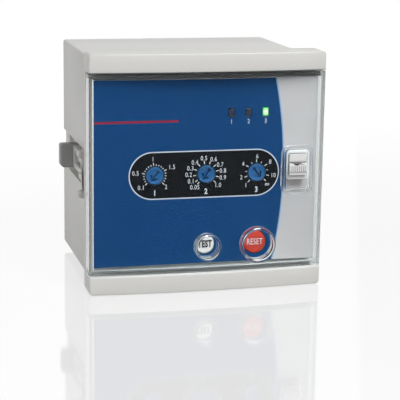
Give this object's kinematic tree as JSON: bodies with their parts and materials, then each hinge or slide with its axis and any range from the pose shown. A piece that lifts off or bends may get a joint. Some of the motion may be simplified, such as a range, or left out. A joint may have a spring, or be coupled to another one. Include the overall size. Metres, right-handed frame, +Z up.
{
  "type": "protection relay",
  "caption": "Square flush-mounting protection relay with a hinged clear cover, setting dials, indicator lamps, push buttons, side panel clips and rear screw terminals.",
  "frame": {"origin": "centre of the bounding box in X and Y, at its lowest level: the lower edge of the front frame", "axes": "+X to the right seen from the front, +Y from the front into the panel, +Z up"},
  "size_m": [0.101, 0.0914, 0.096],
  "materials": {
    "grey_abs": "light grey moulded plastic with a fine satin texture",
    "front_plate_grey": "mid grey moulded plastic",
    "fascia_film": "printed polycarbonate film in blue and grey, satin",
    "clear_polycarbonate": "clear, polished",
    "dial_blue": "blue moulded plastic, satin",
    "red_abs": "red moulded plastic, gloss",
    "white_abs": "white moulded plastic, gloss",
    "lamp_dark": "tinted lamp body, unlit",
    "lamp_green": "green lamp body, lit, emissive",
    "clip_grey": "dark grey moulded plastic",
    "black_plastic": "black moulded plastic",
    "board_green": "green solder mask on glass-fibre laminate",
    "zinc_plated_steel": "zinc plated",
    "enamelled_copper": "enamelled copper wire wound on a ring core",
    "silicon_steel": "varnished laminations",
    "winding_tape": "yellow insulating tape over the winding"
  },
  "bodies": {
    "case": {"front_frame": "grey_abs", "rear_case": "grey_abs", "rear_panel": "grey_abs", "front_plate": "front_plate_grey", "fascia_overlay": "fascia_film", "lamp_1": "lamp_dark", "lamp_2": "lamp_dark", "lamp_3": "lamp_green", "potentiometer_1": "black_plastic", "potentiometer_2": "black_plastic", "potentiometer_3": "black_plastic", "reset_switch": "black_plastic", "test_switch": "black_plastic", "board_header": "black_plastic", "output_relay_1": "black_plastic", "output_relay_2": "black_plastic", "capacitor_1": "black_plastic", "capacitor_2": "black_plastic", "control_chip": "black_plastic", "terminal_block_left": "black_plastic", "terminal_block_right": "black_plastic", "front_circuit_board": "board_green", "main_circuit_board": "board_green", "rear_circuit_board": "board_green", "front_board_screw_1": "zinc_plated_steel", "front_board_screw_2": "zinc_plated_steel", "front_board_screw_3": "zinc_plated_steel", "front_board_screw_4": "zinc_plated_steel", "rear_panel_screw_1": "zinc_plated_steel", "rear_panel_screw_2": "zinc_plated_steel", "rear_panel_screw_3": "zinc_plated_steel", "rear_panel_screw_4": "zinc_plated_steel", "terminal_screw_left_1": "zinc_plated_steel", "terminal_screw_left_2": "zinc_plated_steel", "terminal_screw_left_3": "zinc_plated_steel", "terminal_screw_left_4": "zinc_plated_steel", "terminal_screw_left_5": "zinc_plated_steel", "terminal_screw_left_6": "zinc_plated_steel", "terminal_screw_right_1": "zinc_plated_steel", "terminal_screw_right_2": "zinc_plated_steel", "terminal_screw_right_3": "zinc_plated_steel", "terminal_screw_right_4": "zinc_plated_steel", "terminal_screw_right_5": "zinc_plated_steel", "terminal_screw_right_6": "zinc_plated_steel", "current_transformer": "enamelled_copper", "transformer_core": "silicon_steel", "transformer_winding": "winding_tape"},
    "cover": {"clear_cover": "clear_polycarbonate"},
    "latch": {"cover_latch": "clear_polycarbonate"},
    "dial_left": {"dial_1": "dial_blue"},
    "dial_middle": {"dial_2": "dial_blue"},
    "dial_right": {"dial_3": "dial_blue"},
    "reset": {"reset_button": "red_abs"},
    "test": {"test_button": "white_abs"},
    "clip_left": {"mounting_clip_left": "grey_abs", "clip_grip_left": "clip_grey"},
    "clip_right": {"mounting_clip_right": "grey_abs", "clip_grip_right": "clip_grey"}
  },
  "joints": [
    {"name": "cover_hinge", "type": "hinge", "parent": "case", "child": "cover", "pos_m": [-0.0464, -0.0364, 0.048], "axis": [0, 0, -1], "range_deg": [0, 100]},
    {"name": "latch_slide", "type": "slide", "parent": "cover", "child": "latch", "axis": [0, 0, -1], "range_m": [0, 0.004]},
    {"name": "dial_1_turn", "type": "hinge", "parent": "case", "child": "dial_left", "pos_m": [-0.021, -0.0388, 0.047], "axis": [0, 1, 0], "range_deg": [0, 285]},
    {"name": "dial_2_turn", "type": "hinge", "parent": "case", "child": "dial_middle", "pos_m": [0, -0.0388, 0.047], "axis": [0, 1, 0], "range_deg": [0, 285]},
    {"name": "dial_3_turn", "type": "hinge", "parent": "case", "child": "dial_right", "pos_m": [0.021, -0.0388, 0.047], "axis": [0, 1, 0], "range_deg": [-285, 0]},
    {"name": "reset_press", "type": "slide", "parent": "case", "child": "reset", "axis": [0, 1, 0], "range_m": [0, 0.0015], "stiffness_N_per_m": 400, "springref_m": -0.001},
    {"name": "test_press", "type": "slide", "parent": "case", "child": "test", "axis": [0, 1, 0], "range_m": [0, 0.0015], "stiffness_N_per_m": 400, "springref_m": -0.001},
    {"name": "clip_left_slide", "type": "slide", "parent": "case", "child": "clip_left", "axis": [0, 1, 0], "range_m": [-0.002, 0.008]},
    {"name": "clip_right_slide", "type": "slide", "parent": "case", "child": "clip_right", "axis": [0, 1, 0], "range_m": [-0.002, 0.008]}
  ]
}
